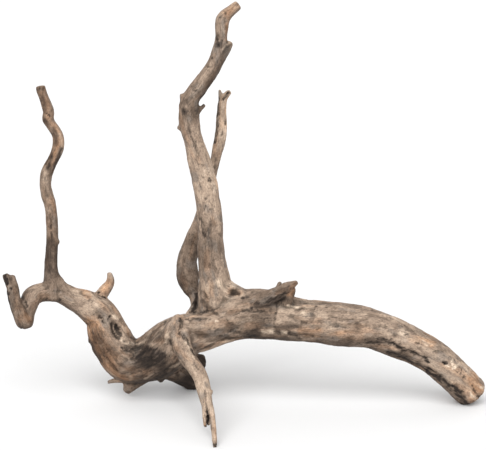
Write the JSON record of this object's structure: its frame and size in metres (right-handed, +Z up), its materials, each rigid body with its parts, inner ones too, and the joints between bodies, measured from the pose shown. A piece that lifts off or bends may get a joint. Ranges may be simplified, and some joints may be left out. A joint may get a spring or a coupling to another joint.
{
  "type": "piece of driftwood",
  "caption": "Weathered branching piece of driftwood that stands on worn root ends and its thick end, with slender upright limbs and a hooked snag.",
  "frame": {"origin": "middle of the footprint, on the ground that the wood stands on", "axes": "+X from the hooked thin end to the thick worn end, along the greatest reach; +Y away from the front root, to the back; +Z up"},
  "size_m": [0.4742, 0.1984, 0.3938],
  "materials": {
    "weathered_wood": "dry weathered bare wood, grey-brown with pale and dark streaks along the grain, matt"
  },
  "bodies": {
    "root": {"driftwood": "weathered_wood"}
  },
  "joints": []
}
